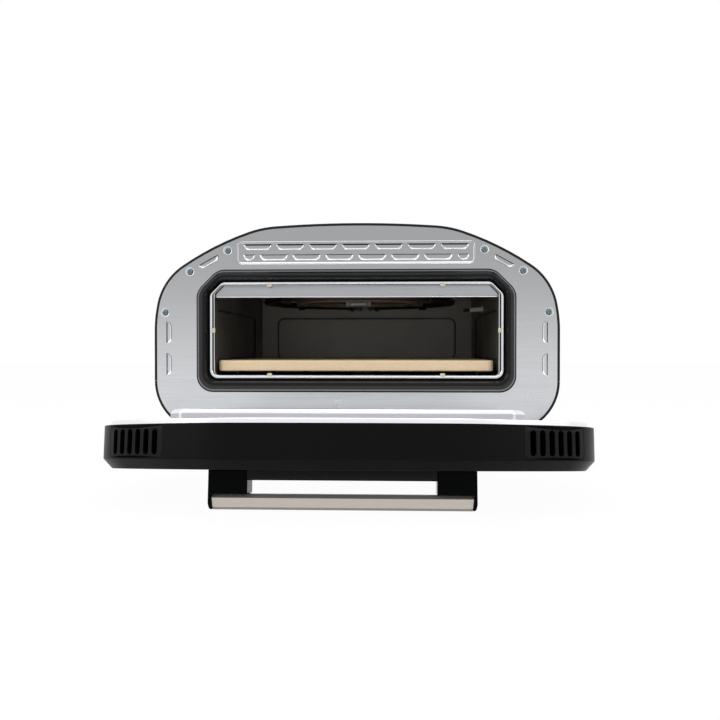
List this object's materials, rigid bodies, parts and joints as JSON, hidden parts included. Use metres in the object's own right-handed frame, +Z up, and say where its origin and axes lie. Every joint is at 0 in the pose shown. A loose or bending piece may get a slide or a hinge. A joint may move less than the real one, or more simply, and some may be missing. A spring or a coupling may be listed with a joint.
{
  "type": "electric pizza maker",
  "caption": "Front-loading countertop electric pizza oven with a pizza stone, ring heating elements, a full-front drop-down door, bar handle, push buttons and cooling fan.",
  "frame": {"origin": "on the table, at the centre of the footprint of the oven with its door open", "axes": "+Z up, +Y to the rear, the door opens towards -Y, +X to the right seen from the front"},
  "size_m": [0.4634, 0.6856, 0.285],
  "materials": {
    "shell_black": "satin",
    "face_steel": "brushed",
    "screw_zinc": "satin",
    "bezel_gloss": "gloss",
    "rim_silver": "satin",
    "clip_cream": "matte",
    "baffle_silver": "satin",
    "cavity_enamel": "satin",
    "element_dark": "matte",
    "element_brown": "matte",
    "hanger_steel": "satin",
    "ceramic_white": "matte",
    "sensor_steel": "satin",
    "cordierite": "matte",
    "mineral_wool": "matte",
    "zinc_sheet": "satin",
    "foot_rubber": "matte",
    "hinge_steel": "satin",
    "pin_steel": "polished",
    "fan_plastic": "matte",
    "inlet_plastic": "satin",
    "pin_brass": "polished",
    "board_green": "satin",
    "door_black": "satin",
    "liner_bright": "satin",
    "glass_dark": "polished",
    "glass_clear": "polished",
    "handle_black": "satin",
    "handle_steel": "brushed",
    "fascia_black": "gloss",
    "lens_black": "polished",
    "key_grey": "satin"
  },
  "bodies": {
    "root": {"outer_shell": "shell_black", "base_pan": "shell_black", "rear_cover": "shell_black", "rear_screws": "hinge_steel", "face_panel": "face_steel", "face_screws": "screw_zinc", "bezel": "bezel_gloss", "mouth_rim": "rim_silver", "rim_clips": "clip_cream", "heat_baffle": "baffle_silver", "cavity_floor": "cavity_enamel", "cavity_ceiling": "cavity_enamel", "cavity_left_wall": "cavity_enamel", "cavity_right_wall": "cavity_enamel", "cavity_back_wall": "cavity_enamel", "upper_outer_element": "element_dark", "upper_inner_element": "element_brown", "lower_element": "element_dark", "element_hangers": "hanger_steel", "element_saddles": "hanger_steel", "element_bushings": "ceramic_white", "centre_bracket": "hanger_steel", "centre_sensor": "sensor_steel", "probe_sleeve": "ceramic_white", "probe_tip": "element_dark", "stone_rails": "hanger_steel", "pizza_stone": "cordierite", "insulation_blankets": "mineral_wool", "liner_supports": "zinc_sheet", "plinth": "shell_black", "feet": "foot_rubber", "foot_screws": "pin_steel", "hinge_brackets": "hinge_steel", "hinge_pins": "pin_steel", "fan_frame": "fan_plastic", "fan_screws": "hinge_steel", "power_inlet": "inlet_plastic", "inlet_pins": "pin_brass", "power_board": "board_green", "thermal_cutouts": "ceramic_white"},
    "fan": {"fan_rotor": "fan_plastic"},
    "door": {"door_shell": "door_black", "door_inner_panel": "liner_bright", "door_vents": "door_black", "outer_glass": "glass_dark", "inner_glass": "glass_clear", "door_insulation": "mineral_wool", "hinge_lugs": "hinge_steel", "handle_plate": "handle_black", "handle_posts": "handle_black", "handle_bar": "handle_steel", "handle_screws": "pin_steel", "control_fascia": "fascia_black", "display_lens": "lens_black", "control_board": "board_green"},
    "power_key": {"button_power": "key_grey"},
    "light_key": {"button_light": "key_grey"},
    "minus_key": {"button_minus": "key_grey"},
    "plus_key": {"button_plus": "key_grey"}
  },
  "joints": [
    {"name": "door_hinge", "type": "hinge", "parent": "root", "child": "door", "pos_m": [0, -0.09558, 0.0401], "axis": [-1, 0, 0], "range_deg": [0, 82.37]},
    {"name": "fan_spin", "type": "hinge", "parent": "root", "child": "fan", "pos_m": [0.086, 0.33042, 0.168], "axis": [0, 1, 0], "continuous": true},
    {"name": "power_press", "type": "slide", "parent": "door", "child": "power_key", "axis": [0, 0.1328, 0.9911], "range_m": [0, 0.0012], "stiffness_N_per_m": 500, "springref_m": -0.001},
    {"name": "light_press", "type": "slide", "parent": "door", "child": "light_key", "axis": [0, 0.1328, 0.9911], "range_m": [0, 0.0012], "stiffness_N_per_m": 500, "springref_m": -0.001},
    {"name": "minus_press", "type": "slide", "parent": "door", "child": "minus_key", "axis": [0, 0.1328, 0.9911], "range_m": [0, 0.0012], "stiffness_N_per_m": 500, "springref_m": -0.001},
    {"name": "plus_press", "type": "slide", "parent": "door", "child": "plus_key", "axis": [0, 0.1328, 0.9911], "range_m": [0, 0.0012], "stiffness_N_per_m": 500, "springref_m": -0.001}
  ]
}
